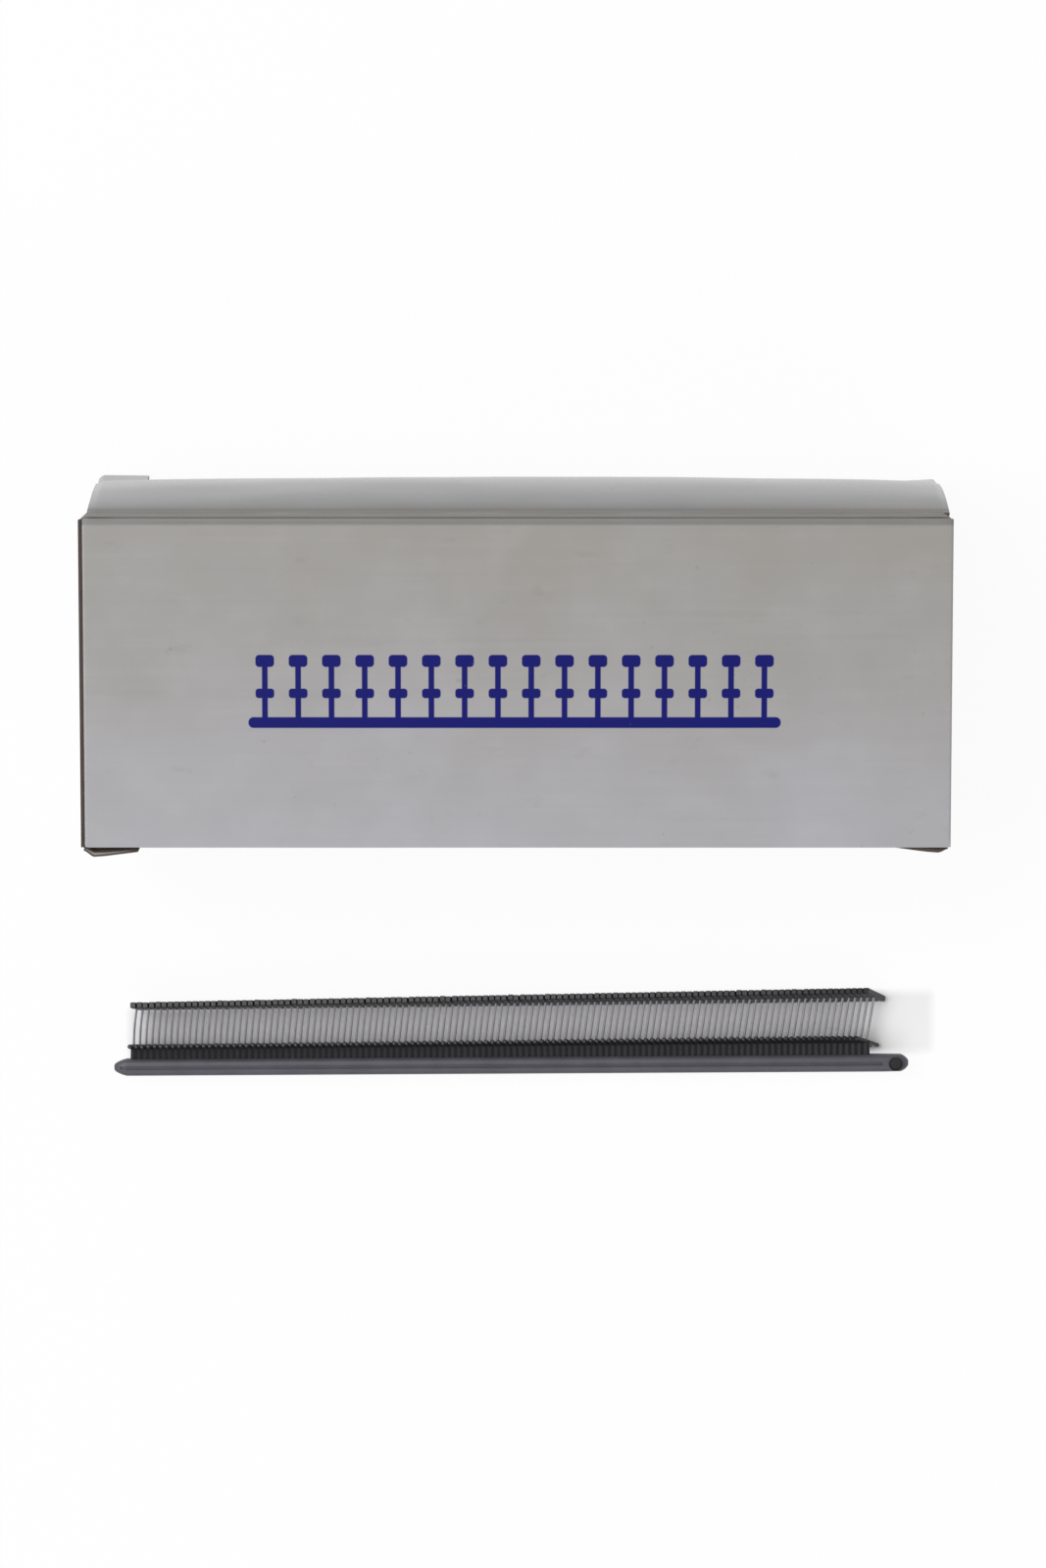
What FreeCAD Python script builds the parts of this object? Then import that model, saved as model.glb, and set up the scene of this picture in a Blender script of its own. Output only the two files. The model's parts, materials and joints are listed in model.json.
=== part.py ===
import FreeCAD, Part
import math
import os

# A retail pack of micro tag pins, in millimetres and degrees.
#
# The carton is a reverse-tuck carton of thin board. It lies on its back panel, which is in the plane z = 0.
# Its front panel faces +Z, its lid closes the end at +Y and its bottom closure the end at -Y.
# The origin is the middle of the back panel's outer face. Clips of pins lie inside in rows, and one clip
# that was taken out lies on the same surface in front of the carton's lower end.

# ---- Tag pins and their clip ----
PIN_COUNT = 120
PIN_PITCH = 1.0
T_BAR_DIAMETER = 0.75
T_BAR_LENGTH = 7.0
FILAMENT_DIAMETER = 0.35
NECK_DIAMETER = 0.6
PADDLE_WIDTH = 0.5  # along the clip
PADDLE_THICKNESS = 0.9  # along the filament
PADDLE_LENGTH = 6.8  # across the clip, as the T-bar
RUNNER_TO_T_BAR = 3.7  # between centre lines
T_BAR_TO_PADDLE = 6.9  # between centre lines
RUNNER_WIDTH = 2.9
RUNNER_THICKNESS = 2.4
RUNNER_EDGE_RADIUS = 0.9
RUNNER_END_RADIUS = 0.5
RUNNER_GROOVE_WIDTH = 0.5
RUNNER_GROOVE_DEPTH = 0.25
RUNNER_LEFT_END = 3.2  # bare runner before the first pin
RUNNER_RIGHT_END = 6.8  # bare runner after the last pin
GATE_STUD_DIAMETER = 2.2
GATE_STUD_HEIGHT = 0.4
GATE_STUD_INSET = 2.8  # from the runner's right end to the stud's centre

# ---- How the boxed clips lie ----
ROW_COUNT = 3
CLIPS_IN_ROW = 8
REST_GAP = 0.05  # between the lowest clips and the back panel
STACK_GAP = 0.075  # between a clip's T-bars and the filaments of the next
STAGGER_GAP = 0.15  # between the paddles of two clips that overlap in height
ROW_GAP = 0.3

# ---- How the clip taken out lies ----
LOOSE_CLIP_DISTANCE = 30.75  # from the front panel's lower edge to the row of paddles
LOOSE_CLIP_SHIFT = -2.6  # middle of the pins from the carton's middle
LOOSE_CLIP_TURN = 0.35  # its right end lies nearer to the carton

# The comb is flexible, so its pins don't lie as they were moulded.
# Each pair is for the first pin and the last.
LEAN_BACK = (13.0, 22.5)  # the pins lean to +Y
LEAN_SIDE = (8.0, 20.0)  # and to -X
PADDLE_DRIFT = (0.64, 1.27)  # a paddle lies this much further to +X than its T-bar
PADDLE_SPREAD = (-0.6, 0.6)  # and this much further from it than as moulded

# ---- Carton ----
BOARD = 0.5
END_PLAY = 4.5  # what the clips have to spare along the carton
MOUTH_ROOM = 8.3  # from the clips to the sleeve's upper edge
HEAD_ROOM = 7.7  # from the uppermost clips to the front panel
FLAP_GAP = 0.3  # air between boards that pass each other
CREASE_GAP = 0.05  # air in a crease that turns
BEAD_RADIUS = 0.9  # rounded ridge of the creases that the closures turn on
DUST_FLAP_DEPTH = 0.65  # from the sleeve's end down to the dust flaps
DUST_FLAP_LENGTH = 28.0
DUST_FLAP_HINGE_MARGIN = 2.0  # from the closure's crease to the flap's tapered edge
DUST_FLAP_TAPER = 0.5  # the edge falls back this much for each unit of length
DUST_FLAP_TUCK_MARGIN = 3.0  # kept free for the tuck flap
DUST_FLAP_CORNER = 3.0
GLUE_FLAP_WIDTH = 14.0
GLUE_FLAP_TAPER = 3.0
CLOSURE_SIDE_GAP = 0.3
TUCK_SIDE_GAP = 0.4
TUCK_TIP_GAP = 0.4
TUCK_LEAN = 12.0
TUCK_CORNER = 5.0
SLIT_WIDTH = 0.5
SHOULDER_WIDTH = 8.2  # board left beside the middle of a tuck crease by each slit
SHOULDER_LENGTH = 5.0  # how far before the crease the shoulders leave the bow
SHOULDER_SETBACK = 0.3

# The lid is bowed outward. Its tuck crease stands a little off the sleeve, and its shoulders further.
LID_RISE = 1.5
LID_BOW = 3.0
LID_SHOULDER_LIFT = 1.9

# The bottom closure is flatter. Its crease lies level with the sleeve's end and its shoulders stand out.
BOTTOM_RISE = -0.1
BOTTOM_BOW = 1.5
BOTTOM_SHOULDER_LIFT = 1.1
BOTTOM_SHOULDER_WIDTH = 9.0

# ---- Sizes that follow ----
PINS_LENGTH = (PIN_COUNT - 1) * PIN_PITCH
RUNNER_LENGTH = RUNNER_LEFT_END + PINS_LENGTH + RUNNER_RIGHT_END
RUNNER_TO_PADDLE = RUNNER_TO_T_BAR + T_BAR_TO_PADDLE
CLIP_HEIGHT = RUNNER_WIDTH / 2 + RUNNER_TO_PADDLE + PADDLE_THICKNESS / 2

STACK_STEP = T_BAR_LENGTH / 2 + FILAMENT_DIAMETER / 2 + STACK_GAP
STAGGER = max(PADDLE_THICKNESS, T_BAR_DIAMETER) + STAGGER_GAP
ROW_PITCH = CLIP_HEIGHT + STAGGER + ROW_GAP
ROWS_HEIGHT = ROW_COUNT * ROW_PITCH - ROW_GAP
STACK_DEPTH = T_BAR_LENGTH + (CLIPS_IN_ROW - 1) * STACK_STEP

CARTON_LENGTH = RUNNER_LENGTH + END_PLAY + 3 * BOARD
FLOOR_ROOM = DUST_FLAP_DEPTH + BOARD + FLAP_GAP
SLEEVE_HEIGHT = FLOOR_ROOM + ROWS_HEIGHT + MOUTH_ROOM
CARTON_DEPTH = BOARD + REST_GAP + STACK_DEPTH + HEAD_ROOM + BOARD

HALF_LENGTH = CARTON_LENGTH / 2
SLEEVE_END = SLEEVE_HEIGHT / 2
SIDE_PANEL_END = SLEEVE_END - DUST_FLAP_DEPTH - BOARD - CREASE_GAP
TUCK_LENGTH = (MOUTH_ROOM + LID_RISE - TUCK_TIP_GAP) / math.cos(math.radians(TUCK_LEAN))

SAME = 0.001  # two points nearer than this are one
PARALLEL = 0.99  # two unit vectors whose product is above this point the same way
X_AXIS = FreeCAD.Vector(1, 0, 0)
Y_AXIS = FreeCAD.Vector(0, 1, 0)
Z_AXIS = FreeCAD.Vector(0, 0, 1)


def point(x, y, z=0.0):
    return FreeCAD.Vector(x, y, z)


def box_between(low, high):
    size = high - low
    return Part.makeBox(size.x, size.y, size.z, low)


def plate_outline(points):
    """A flat face in the XY plane through a closed run of straight edges."""
    return Part.Face(Part.makePolygon(points + points[:1]))


def rounded(plate, corners, radius):
    """A plate that was drawn in the XY plane, with its edges at the given corners rounded."""
    marks = [Part.Vertex(corner) for corner in corners]
    upright = [edge for edge in plate.Edges if abs(edge.tangentAt(edge.FirstParameter).z) > PARALLEL]
    chosen = [edge for edge in upright if min(edge.distToShape(mark)[0] for mark in marks) < SAME]
    return plate.makeFillet(radius, chosen)


# ---- Sleeve ----


def sleeve_panels():
    """The four glued panels and the glue flap. The left panel's raw edge shows beside the front's face."""
    inner_left = -HALF_LENGTH + BOARD
    inner_right = HALF_LENGTH - BOARD
    front_back = CARTON_DEPTH - BOARD
    return {
        "back_panel": box_between(
            point(-HALF_LENGTH, -SLEEVE_END, 0),
            point(HALF_LENGTH, SLEEVE_END, BOARD),
        ),
        "left_side_panel": box_between(
            point(-HALF_LENGTH, -SIDE_PANEL_END, BOARD),
            point(inner_left, SIDE_PANEL_END, CARTON_DEPTH),
        ),
        "right_side_panel": box_between(
            point(inner_right, -SIDE_PANEL_END, BOARD),
            point(HALF_LENGTH, SIDE_PANEL_END, front_back),
        ),
        "front_panel": box_between(
            point(inner_left, -SLEEVE_END, front_back),
            point(HALF_LENGTH, SLEEVE_END, CARTON_DEPTH),
        ),
        "glue_flap": glue_flap(inner_left, front_back),
    }


def glue_flap(side, top):
    """Lies inside the left side panel, tapered towards its free edge."""
    wide = SIDE_PANEL_END - GLUE_FLAP_TAPER
    narrow = wide - GLUE_FLAP_TAPER
    low = top - GLUE_FLAP_WIDTH
    corners = [
        point(side, -wide, top),
        point(side, wide, top),
        point(side, narrow, low),
        point(side, -narrow, low),
    ]
    return plate_outline(corners).extrude(X_AXIS * BOARD)


# ---- Closures, drawn for the lid's end ----


def crease_point(rise):
    """Where the tuck flap is creased to its closure panel, as (y, z)."""
    return SLEEVE_END + rise, BOARD + FLAP_GAP + BOARD / 2


def hinge_point():
    """The crease that joins a closure panel to the sleeve, as (y, z)."""
    return SLEEVE_END + BEAD_RADIUS + CREASE_GAP, CARTON_DEPTH - BEAD_RADIUS


def bowed_section(rise, bow):
    """A closure panel's section, an arc bowed outward from its hinge to its tuck crease.

    Returns the arc's length and a function that gives the point a distance before the crease along the
    arc and a distance outside the middle of the board."""
    start_y, start_z = hinge_point()
    end_y, end_z = crease_point(rise)
    chord = math.hypot(end_y - start_y, end_z - start_z)
    radius = (chord * chord / 4 + bow * bow) / (2 * bow)
    outward_y = (start_z - end_z) / chord
    outward_z = (end_y - start_y) / chord
    centre_y = (start_y + end_y) / 2 - outward_y * (radius - bow)
    centre_z = (start_z + end_z) / 2 - outward_z * (radius - bow)
    crease_angle = math.atan2(end_z - centre_z, end_y - centre_y)

    def place(before_crease, outside):
        angle = crease_angle + before_crease / radius
        reach = radius + outside
        return point(0, centre_y + reach * math.cos(angle), centre_z + reach * math.sin(angle))

    return 2 * radius * math.asin(chord / 2 / radius), place


def bowed_strip(place, first, last, left, right):
    """Board between two distances before the crease, from left to right along X."""
    outer = [place(distance, BOARD / 2) for distance in (first, (first + last) / 2, last)]
    inner = [place(distance, -BOARD / 2) for distance in (last, (first + last) / 2, first)]
    edges = [
        Part.Arc(*outer).toShape(),
        Part.makeLine(outer[-1], inner[0]),
        Part.Arc(*inner).toShape(),
        Part.makeLine(inner[-1], outer[0]),
    ]
    strip = Part.Face(Part.Wire(edges)).extrude(X_AXIS * (right - left))
    strip.translate(point(left, 0))
    return strip


def shoulder(place, lift, left, right):
    """Board beside the slit of a tuck crease, which goes on flat and stands out a little."""
    crease = place(0, lift)
    corners = [
        place(SHOULDER_LENGTH, BOARD / 2),
        point(0, crease.y + BOARD / 2, SHOULDER_SETBACK),
        point(0, crease.y - BOARD / 2, SHOULDER_SETBACK),
        place(SHOULDER_LENGTH, -BOARD / 2),
    ]
    board = plate_outline(corners).extrude(X_AXIS * (right - left))
    board.translate(point(left, 0))
    return board


def closure_panel(rise, bow, shoulder_width, shoulder_lift):
    """The panel that closes an end: a bead on the crease, a bowed middle and a shoulder at each side."""
    half_width = HALF_LENGTH - CLOSURE_SIDE_GAP
    half_crease = half_width - shoulder_width
    hinge_y, hinge_z = hinge_point()
    bead = Part.makeCylinder(BEAD_RADIUS, 2 * half_width, point(-half_width, hinge_y, hinge_z), X_AXIS)
    length, place = bowed_section(rise, bow)
    pieces = [bowed_strip(place, length, BOARD / 2 + 2 * CREASE_GAP, -half_crease, half_crease)]
    for left, right in ((-half_width, -half_crease), (half_crease, half_width)):
        pieces.append(bowed_strip(place, length, SHOULDER_LENGTH, left, right))
        pieces.append(shoulder(place, shoulder_lift, left, right))
    return bead.fuse(pieces).removeSplitter().Solids[0]


def tuck_flap(rise, shoulder_width):
    """Hangs from the closure's crease between two slits and leans away from the panel it slides along."""
    half_width = HALF_LENGTH - 2 * BOARD - TUCK_SIDE_GAP
    half_crease = HALF_LENGTH - CLOSURE_SIDE_GAP - shoulder_width - CREASE_GAP
    corners = [point(-half_width, -TUCK_LENGTH), point(half_width, -TUCK_LENGTH)]
    outline = [
        point(-half_crease, 0),
        point(-half_crease, -SLIT_WIDTH),
        point(-half_width, -SLIT_WIDTH),
        *corners,
        point(half_width, -SLIT_WIDTH),
        point(half_crease, -SLIT_WIDTH),
        point(half_crease, 0),
    ]
    plate = plate_outline(outline).extrude(Z_AXIS * BOARD)
    plate = rounded(plate, corners, TUCK_CORNER)
    plate.translate(point(0, 0, -BOARD / 2))
    knuckle = Part.makeCylinder(BOARD / 2, 2 * half_crease, point(-half_crease, 0), X_AXIS)
    flap = plate.fuse(knuckle).removeSplitter().Solids[0]
    flap.rotate(point(0, 0), X_AXIS, -TUCK_LEAN)
    crease_y, crease_z = crease_point(rise)
    flap.translate(point(0, crease_y, crease_z))
    return flap


def left_dust_flap():
    """Turns on the left side panel's end. Its edge beside the closure's crease is tapered."""
    hinge_x = -HALF_LENGTH + BOARD / 2
    top = SLEEVE_END - DUST_FLAP_DEPTH
    near = CARTON_DEPTH - DUST_FLAP_HINGE_MARGIN
    far = near - DUST_FLAP_TAPER * DUST_FLAP_LENGTH
    tip = hinge_x + DUST_FLAP_LENGTH
    # drawn in the XY plane with the carton's depth along Y, then stood up
    corners = [point(tip, DUST_FLAP_TUCK_MARGIN), point(tip, far)]
    outline = [point(hinge_x, DUST_FLAP_TUCK_MARGIN), *corners, point(hinge_x, near)]
    plate = plate_outline(outline).extrude(Z_AXIS * BOARD)
    plate = rounded(plate, corners, DUST_FLAP_CORNER)
    plate.rotate(point(0, 0), X_AXIS, 90)
    plate.translate(point(0, top, 0))
    knuckle = Part.makeCylinder(
        BOARD / 2,
        near - DUST_FLAP_TUCK_MARGIN,
        point(hinge_x, top - BOARD / 2, DUST_FLAP_TUCK_MARGIN),
        Z_AXIS,
    )
    return plate.fuse(knuckle).removeSplitter().Solids[0]


def mirrored_right(shape):
    return shape.mirror(point(0, 0), X_AXIS)


def at_bottom(shape):
    """The same piece at the carton's other end, turned half round so that it tucks in at the front."""
    turned = shape.copy()
    turned.rotate(point(0, 0, CARTON_DEPTH / 2), X_AXIS, 180)
    return turned


def closures():
    dust_flap = left_dust_flap()
    bottom_panel = closure_panel(BOTTOM_RISE, BOTTOM_BOW, BOTTOM_SHOULDER_WIDTH, BOTTOM_SHOULDER_LIFT)
    return {
        "lid_panel": closure_panel(LID_RISE, LID_BOW, SHOULDER_WIDTH, LID_SHOULDER_LIFT),
        "lid_tuck_flap": tuck_flap(LID_RISE, SHOULDER_WIDTH),
        "top_left_dust_flap": dust_flap,
        "top_right_dust_flap": mirrored_right(dust_flap),
        "bottom_panel": at_bottom(bottom_panel),
        "bottom_tuck_flap": at_bottom(tuck_flap(BOTTOM_RISE, BOTTOM_SHOULDER_WIDTH)),
        "bottom_left_dust_flap": at_bottom(dust_flap),
        "bottom_right_dust_flap": at_bottom(mirrored_right(dust_flap)),
    }


# ---- Clips, drawn with the runner on the X axis, the pins towards +Y and the first pin at the left ----


def runner():
    """The bar that carries the pins, with a shallow groove along both faces."""
    left = -PINS_LENGTH / 2 - RUNNER_LEFT_END
    bar = box_between(
        point(left, -RUNNER_WIDTH / 2, -RUNNER_THICKNESS / 2),
        point(left + RUNNER_LENGTH, RUNNER_WIDTH / 2, RUNNER_THICKNESS / 2),
    )
    long_edges = [edge for edge in bar.Edges if edge.Length > RUNNER_LENGTH / 2]
    bar = bar.makeFillet(RUNNER_EDGE_RADIUS, long_edges)
    ends = [face for face in bar.Faces if abs(face.normalAt(0, 0).x) > PARALLEL]
    bar = bar.makeFillet(RUNNER_END_RADIUS, [edge for face in ends for edge in face.Edges])
    groove_start = left + 2 * RUNNER_END_RADIUS
    groove_end = left + RUNNER_LENGTH - 2 * GATE_STUD_INSET
    groove_floor = RUNNER_THICKNESS / 2 - RUNNER_GROOVE_DEPTH
    groove = box_between(
        point(groove_start, -RUNNER_GROOVE_WIDTH / 2, groove_floor),
        point(groove_end, RUNNER_GROOVE_WIDTH / 2, RUNNER_THICKNESS),
    )
    return bar.cut([groove, groove.mirror(point(0, 0), Z_AXIS)])


def gate_stud():
    """The round stud that moulding leaves near the runner's right end."""
    stud_x = PINS_LENGTH / 2 + RUNNER_RIGHT_END - GATE_STUD_INSET
    height = RUNNER_THICKNESS / 2 + GATE_STUD_HEIGHT
    return Part.makeCylinder(GATE_STUD_DIAMETER / 2, height, point(stud_x, 0))


def rod(start, direction, length, diameter):
    return Part.makeCylinder(diameter / 2, length, start, direction)


def tag_pin(x, share):
    """One pin. share, from 0 at the clip's first pin to 1 at its last, sets how the pin lies."""

    def between(first_and_last):
        first, last = first_and_last
        return first + share * (last - first)

    lean_side = math.tan(math.radians(between(LEAN_SIDE)))
    lean_back = math.tan(math.radians(between(LEAN_BACK)))
    along = point(-lean_side, lean_back, 1).normalize()
    t_bar_centre = point(x, RUNNER_TO_T_BAR)
    paddle_centre = point(x + between(PADDLE_DRIFT), RUNNER_TO_PADDLE + between(PADDLE_SPREAD))
    inside = T_BAR_DIAMETER / 4  # neck and filament end inside the T-bar, either side of its middle
    neck_start = RUNNER_WIDTH / 2 - T_BAR_DIAMETER / 2
    neck = rod(point(x, neck_start), Y_AXIS, RUNNER_TO_T_BAR - inside - neck_start, NECK_DIAMETER)
    reach = paddle_centre - t_bar_centre
    filament_start = t_bar_centre + reach * (inside / reach.Length)
    filament = rod(filament_start, reach, reach.Length - inside, FILAMENT_DIAMETER)
    t_bar = rod(t_bar_centre - along * (T_BAR_LENGTH / 2), along, T_BAR_LENGTH, T_BAR_DIAMETER)
    half_paddle = point(PADDLE_WIDTH, PADDLE_THICKNESS, PADDLE_LENGTH) * 0.5
    paddle = box_between(-half_paddle, half_paddle)
    paddle.Placement = FreeCAD.Placement(paddle_centre, FreeCAD.Rotation(Z_AXIS, along))
    return t_bar.fuse([neck, filament, paddle])


def detailed_clip():
    """The whole moulding, one solid, with every pin."""
    pins = []
    for number in range(PIN_COUNT):
        share = number / (PIN_COUNT - 1)
        pins.append(tag_pin((share - 0.5) * PINS_LENGTH, share))
    return runner().fuse([gate_stud(), *pins]).Solids[0]


def loose_clip():
    """The clip taken out, lying on the pins' lower tips."""
    clip = detailed_clip()
    clip.rotate(point(0, 0), Z_AXIS, LOOSE_CLIP_TURN)
    lowest = clip.optimalBoundingBox(False, False).ZMin
    runner_y = -SLEEVE_END - LOOSE_CLIP_DISTANCE - RUNNER_TO_PADDLE
    clip.translate(point(LOOSE_CLIP_SHIFT, runner_y, -lowest))
    return clip


def plain_clip():
    """A clip in its stack: the pins upright and each row of them joined into one band."""
    band_length = PINS_LENGTH + T_BAR_DIAMETER

    def band(centre, thickness, depth):
        half = point(band_length, thickness, depth) * 0.5
        middle = point(0, centre)
        return box_between(middle - half, middle + half)

    web_length = RUNNER_TO_PADDLE - RUNNER_WIDTH / 4
    return runner().fuse([
        band(RUNNER_TO_T_BAR, T_BAR_DIAMETER, T_BAR_LENGTH),
        band(RUNNER_TO_PADDLE, PADDLE_THICKNESS, PADDLE_LENGTH),
        band(RUNNER_TO_PADDLE - web_length / 2, web_length, FILAMENT_DIAMETER),
    ]).removeSplitter().Solids[0]


def boxed_clips():
    """Rows of stacked clips, runners towards the lid. Every other clip is staggered, so that they nest."""
    clip = plain_clip()
    clip.rotate(point(0, 0), Z_AXIS, 180)
    inner_middle = BOARD / 2
    runner_middle = (RUNNER_RIGHT_END - RUNNER_LEFT_END) / 2
    first_paddle_edge = -SLEEVE_END + FLOOR_ROOM
    found = {}
    for row in range(ROW_COUNT):
        runner_y = first_paddle_edge + row * ROW_PITCH + CLIP_HEIGHT - RUNNER_WIDTH / 2
        for level in range(CLIPS_IN_ROW):
            placed = clip.copy()
            placed.translate(point(
                inner_middle + runner_middle,
                runner_y + STAGGER * (level % 2),
                BOARD + REST_GAP + T_BAR_LENGTH / 2 + level * STACK_STEP,
            ))
            found["boxed_clip_%s%d" % ("abcdefgh"[row], level + 1)] = placed
    return found


def main():
    os.makedirs("parts", exist_ok=True)
    pieces = {**sleeve_panels(), **closures(), **boxed_clips(), "loose_clip": loose_clip()}
    for node, shape in pieces.items():
        shape.exportStep("parts/%s.step" % node)
    print("carton", CARTON_LENGTH, SLEEVE_HEIGHT, CARTON_DEPTH, "tuck", TUCK_LENGTH)


main()
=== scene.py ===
import json
import math

import bmesh
import bpy
from mathutils import Matrix, Vector, noise


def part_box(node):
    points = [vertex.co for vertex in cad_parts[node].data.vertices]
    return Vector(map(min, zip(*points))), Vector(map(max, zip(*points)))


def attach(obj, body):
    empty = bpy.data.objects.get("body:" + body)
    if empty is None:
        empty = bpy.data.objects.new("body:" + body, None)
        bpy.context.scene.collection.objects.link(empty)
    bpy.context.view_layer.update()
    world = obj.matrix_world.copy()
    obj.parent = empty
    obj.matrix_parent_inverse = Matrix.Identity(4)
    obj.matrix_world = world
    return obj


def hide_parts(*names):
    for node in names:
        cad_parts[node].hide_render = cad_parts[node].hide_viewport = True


# The looks of a carton of garment tag pins and of the clip that lies in front of it. Lengths are in metres.

bl_info = {
    "name": "Tag Pin Pack",
    "version": (1, 0, 0),
    "blender": (4, 5, 0),
    "location": "View3D > Sidebar > Tag Pins",
    "description": "Models a tuck-end carton of garment tag pins and one clip of them",
    "category": "Object",
}

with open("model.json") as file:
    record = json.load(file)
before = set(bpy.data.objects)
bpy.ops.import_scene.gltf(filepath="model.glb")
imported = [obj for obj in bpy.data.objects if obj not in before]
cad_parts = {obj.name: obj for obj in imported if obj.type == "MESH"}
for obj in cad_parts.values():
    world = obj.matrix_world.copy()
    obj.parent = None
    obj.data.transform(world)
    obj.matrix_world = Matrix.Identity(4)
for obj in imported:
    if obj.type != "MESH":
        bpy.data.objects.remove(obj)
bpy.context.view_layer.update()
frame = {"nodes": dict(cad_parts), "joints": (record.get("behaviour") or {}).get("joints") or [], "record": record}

MM = 0.001
X_AXIS, Y_AXIS, Z_AXIS = Vector((1, 0, 0)), Vector((0, 1, 0)), Vector((0, 0, 1))

# ---- Places that the frame gives ----
BODY_OF = {node: body for body, nodes in frame["record"]["behaviour"]["bodies"].items() for node in nodes}
JOINT_AT = {joint["name"]: Vector(joint["pos_m"]) for joint in frame["joints"] if "pos_m" in joint}
FRONT_LOW, FRONT_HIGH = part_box("front_panel")
LID_LOW, LID_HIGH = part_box("lid_panel")
TUCK_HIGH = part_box("lid_tuck_flap")[1]
DUST_LOW, DUST_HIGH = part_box("top_left_dust_flap")
BOARD = FRONT_HIGH.z - FRONT_LOW.z
DEPTH = FRONT_HIGH.z
HALF_LENGTH = FRONT_HIGH.x
SLEEVE_END = FRONT_HIGH.y
HINGE = JOINT_AT["lid_hinge"]
HALF_LID = LID_HIGH.x

# ---- Board ----
SAME = 0.01 * MM  # two places nearer than this are one
CELL = 1.6 * MM  # of the mesh that lets the board bow
FINE_CELL = 0.8 * MM
LINER, INSIDE, RAW, CORE = 0, 1, 2, 3  # material slots: printed side, inner side, cut edge and its middle
PLY = 0.12 * MM  # dark outer layers of a cut edge
SWOLLEN_PLY = 0.27 * MM  # the same where the board has swollen
FOLD_SEGMENTS = 4
KNUCKLE_SHARE = 0.48  # radius of a crease's rounded back, of the board's thickness
CREASE_DIP = 0.24 * MM  # how far a panel sinks beside the crease that a closure turns on
CREASE_DIP_WIDTH = 0.8 * MM
CREASE_DIP_END = 7.0 * MM  # over which that fades towards the panel's corners
CREASE_LIP = 0.27 * MM  # how far its printed side goes on over the ridge
WORN_CORNERS = (1.2 * MM, 0.5 * MM)  # radius of the front's left and right corners at the bottom
LIP_CHAMFER = (0.7 * MM, 0.12 * MM)  # of its corners: along the crease, and below the sleeve's end
TAB_END = SLEEVE_END - 0.02 * MM  # of the corners that the side panels keep beside the dust flaps
CORNER_CUTS = 6
TAPER_CUTS = 5
SHARP = math.radians(40)
BROAD_DENTS, SMALL_DENTS = 34 * MM, 11 * MM  # from one dent to the next
FLAT_BORDER = 9 * MM  # over which the dents begin
RAGGED_STEP = 1.7 * MM

# ---- Closures ----
SHOULDER_LENGTH = 5.0 * MM
FLARE_WIDTH = 8.0 * MM  # over which a closure's ends flare out towards their shoulders' tips
END_CURL = 1.5 * MM  # over which the bow falls off at a closure's ends
END_CURL_SHARE = 0.2
HANGING_LIFT = 0.6 * MM  # a shoulder's tip that stands out less than this hangs back
SHOULDER_DROP = 1.2 * MM  # how far a shoulder's tip hangs back where it doesn't stand out

# Each closure's shoulders stand out by the lifts at their outer end and at their slit, left and right.
LID = {
    "insets": (1.05 * MM, 0.35 * MM),  # of its ends from the ends of its ridge
    "chamfer": (0.7 * MM, 1.6 * MM),  # of a shoulder's outer corner, along the crease and along the panel
    "flares": (0.95 * MM, 0.6 * MM),
    "bow": 3.25 * MM,
    "side_bow": 2.35 * MM,
    "shoulder": 8.2 * MM,
    "lifts": ((1.7 * MM, 1.6 * MM), (1.05 * MM, 0.6 * MM)),
    "roundings": (2.0 * MM, 0.8 * MM),  # over which a shoulder's tip comes forward at its outer end
    "swelling": (0, 0),
}
BOTTOM = {
    "insets": (0.05 * MM, 0.05 * MM),
    "chamfer": (1.3 * MM, 2.0 * MM),
    "flares": (0, 0),
    "bow": 1.5 * MM,
    "side_bow": 1.5 * MM,
    "shoulder": 8.5 * MM,
    "lifts": ((1.65 * MM, 0.6 * MM), (0.9 * MM, 0.05 * MM)),
    "roundings": (2.0 * MM, 2.0 * MM),
    "swelling": (0.55 * MM, 0.1 * MM),
}
WRINKLES = ((88, 13, 1.0), (52, 9, 0.5), (116, 6, 0.25))  # degrees round the ridge, width in degrees, strength
WRINKLE_WANDER = 9  # degrees
BEAD_LOSS = 0.85  # share of its thickness that the ridge loses to its very ends
BEAD_SEGMENTS = 24
BEAD_CUTS = 160
BEAD_TAPER = 1.3 * MM  # over which the ridge thins at its ends
BEAD_OUTER = 0.42 * MM  # how far the ridge stands out of its axis on the panel's side
SLIT_WIDTH = 0.5 * MM
TUCK_LEAN = math.radians(12)
TUCK_CORNER = 5.0 * MM
DUST_TAPER = 0.5
DUST_CORNER = 3.0 * MM
GLUE_TAPER = 3.0 * MM
FLAP_CLEARANCE = 0.3 * MM

# ---- Clips ----
DRAWN, RUNNER_SHEEN = 1, 2  # material slots of the filaments and of the runner, whose finish has a painted sheen
PIN_COUNT = 120
PIN_PITCH = 1.0 * MM
PINS_LENGTH = (PIN_COUNT - 1) * PIN_PITCH
T_BAR_DIAMETER = 0.75 * MM
T_BAR_LENGTH = 7.0 * MM
FILAMENT_DIAMETER = 0.42 * MM
NECK_DIAMETER = 1.08 * MM  # at the T-bar
NECK_ROOT = 1.24 * MM
PADDLE = Vector((0.95, 0.95, 6.8)) * MM
PADDLE_EDGE = 0.12 * MM
T_BAR_EDGE = 0.14 * MM
RUNNER_TO_T_BAR = 3.7 * MM
T_BAR_TO_PADDLE = 6.9 * MM
RUNNER_WIDTH = 2.9 * MM
RUNNER_THICKNESS = 2.4 * MM
PINS_ROOT = RUNNER_WIDTH / 2 - T_BAR_DIAMETER / 2  # where the necks start, inside the runner
RUNNER_LEFT_END = 3.2 * MM
RUNNER_RIGHT_END = 6.8 * MM
RUNNER_EDGE = 0.9 * MM
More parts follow.
